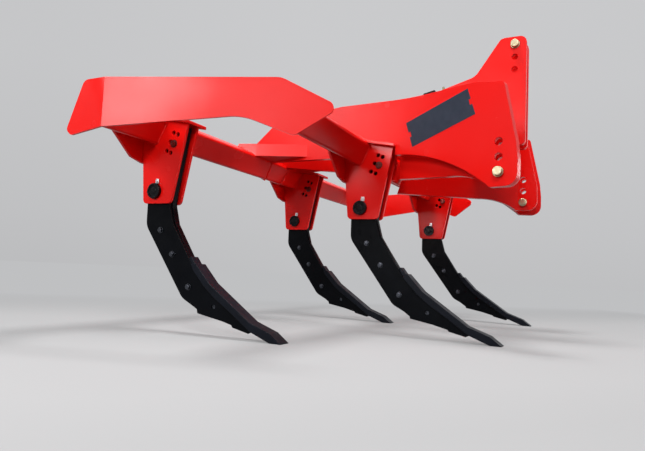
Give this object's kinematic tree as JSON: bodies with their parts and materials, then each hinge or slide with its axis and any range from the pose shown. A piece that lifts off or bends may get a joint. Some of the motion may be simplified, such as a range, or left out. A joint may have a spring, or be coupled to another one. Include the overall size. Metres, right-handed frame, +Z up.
{
  "type": "subsoiler",
  "caption": "Mounted subsoiler with curved rigid legs in two staggered rows, square beams, bent side plates and a three-point headstock.",
  "frame": {"origin": "on the ground under the middle of the bounding box", "axes": "+X forward to the tractor, +Y to the left, +Z up"},
  "size_m": [1.3274, 2.45, 1.25],
  "materials": {
    "red_paint": "gloss",
    "black_steel": "satin",
    "black_caps": "satin",
    "yellow_zinc": "satin",
    "plain_zinc": "satin"
  },
  "bodies": {
    "root": {"bracket_caps": "red_paint", "bracket_cheeks_front_left": "red_paint", "bracket_cheeks_front_right": "red_paint", "bracket_cheeks_rear_left": "red_paint", "bracket_cheeks_rear_right": "red_paint", "bracket_gussets": "red_paint", "front_beam": "red_paint", "headstock_beam": "red_paint", "hitch_inner_plate_left": "red_paint", "hitch_inner_plate_right": "red_paint", "hitch_plate_left": "red_paint", "hitch_plate_right": "red_paint", "knee_brace_left": "red_paint", "knee_brace_right": "red_paint", "lower_link_pin_left": "yellow_zinc", "lower_link_pin_right": "yellow_zinc", "mast_block": "black_caps", "mast_plate_left": "red_paint", "mast_plate_right": "red_paint", "pivot_pin_front_left": "black_caps", "pivot_pin_front_right": "black_caps", "pivot_pin_rear_left": "black_caps", "pivot_pin_rear_right": "black_caps", "point_front_left": "black_steel", "point_front_right": "black_steel", "point_rear_left": "black_steel", "point_rear_right": "black_steel", "rear_beam": "red_paint", "shank_front_left": "black_steel", "shank_front_right": "black_steel", "shank_rear_left": "black_steel", "shank_rear_right": "black_steel", "shank_side_plates_front_left": "black_steel", "shank_side_plates_front_right": "black_steel", "shank_side_plates_rear_left": "black_steel", "shank_side_plates_rear_right": "black_steel", "shear_bolts": "plain_zinc", "side_plate_left": "red_paint", "side_plate_mounts": "red_paint", "side_plate_right": "red_paint", "top_link_pin": "yellow_zinc"}
  },
  "joints": []
}
